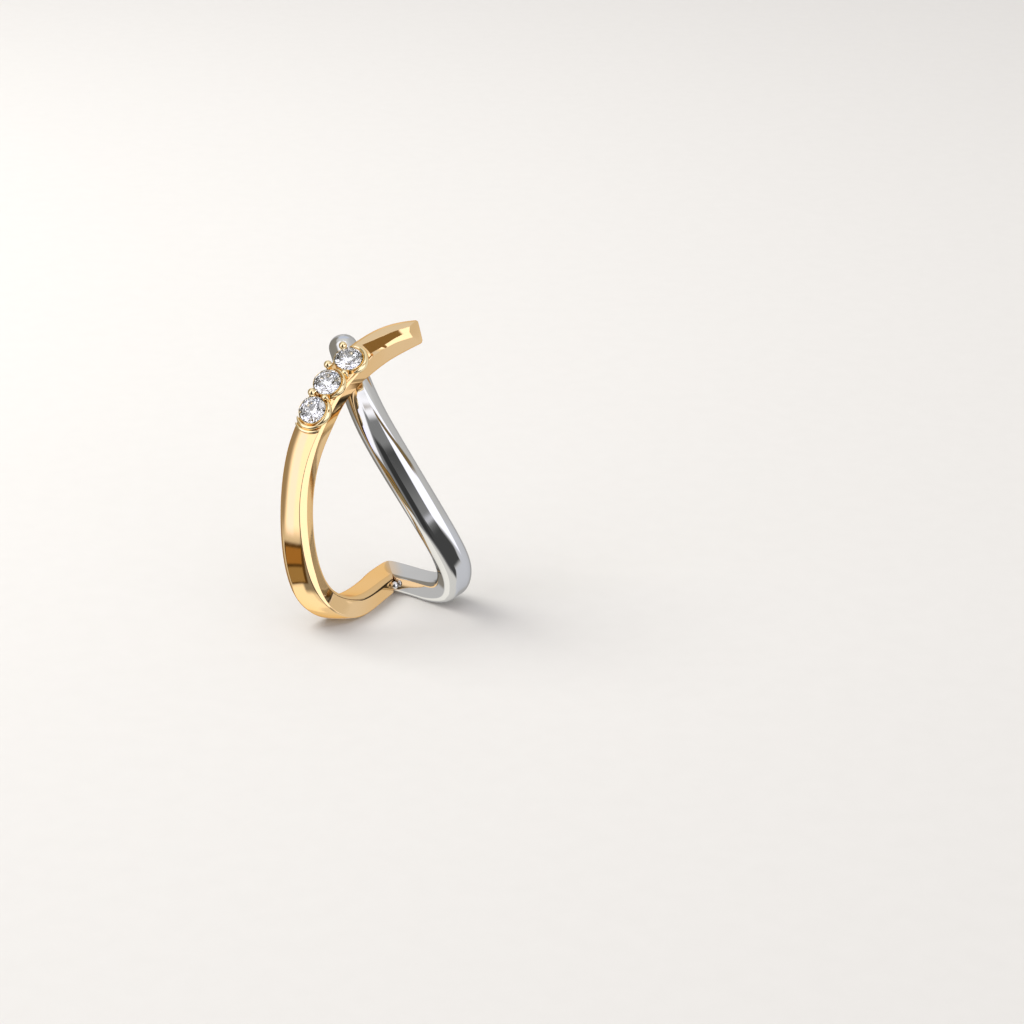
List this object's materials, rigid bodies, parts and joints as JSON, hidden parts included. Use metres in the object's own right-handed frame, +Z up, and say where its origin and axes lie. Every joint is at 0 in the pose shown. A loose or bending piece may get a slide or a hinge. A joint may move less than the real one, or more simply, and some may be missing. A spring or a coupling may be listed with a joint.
{
  "type": "hoop earring",
  "caption": "Open hoop earring of a flat yellow bar set with round stones and a round white bar, crossed at the top and joined in a V at the bottom, with a plain ear post.",
  "frame": {"origin": "on the ground, under the middle of the earring's box, ear post included", "axes": "+Z up as the earring stands, +X to the right and +Y away from whoever faces the stones; the ear post points along +Y and a little down"},
  "size_m": [0.011, 0.0142, 0.0163],
  "materials": {
    "yellow_gold": "mirror-polished 14 carat yellow gold",
    "white_gold": "mirror-polished white gold, rhodium plated",
    "stone": "round brilliant cut, colourless"
  },
  "bodies": {
    "root": {"yellow_band": "yellow_gold", "white_band": "white_gold", "ear_post": "white_gold", "stone_1": "stone", "stone_2": "stone", "stone_3": "stone"}
  },
  "joints": []
}
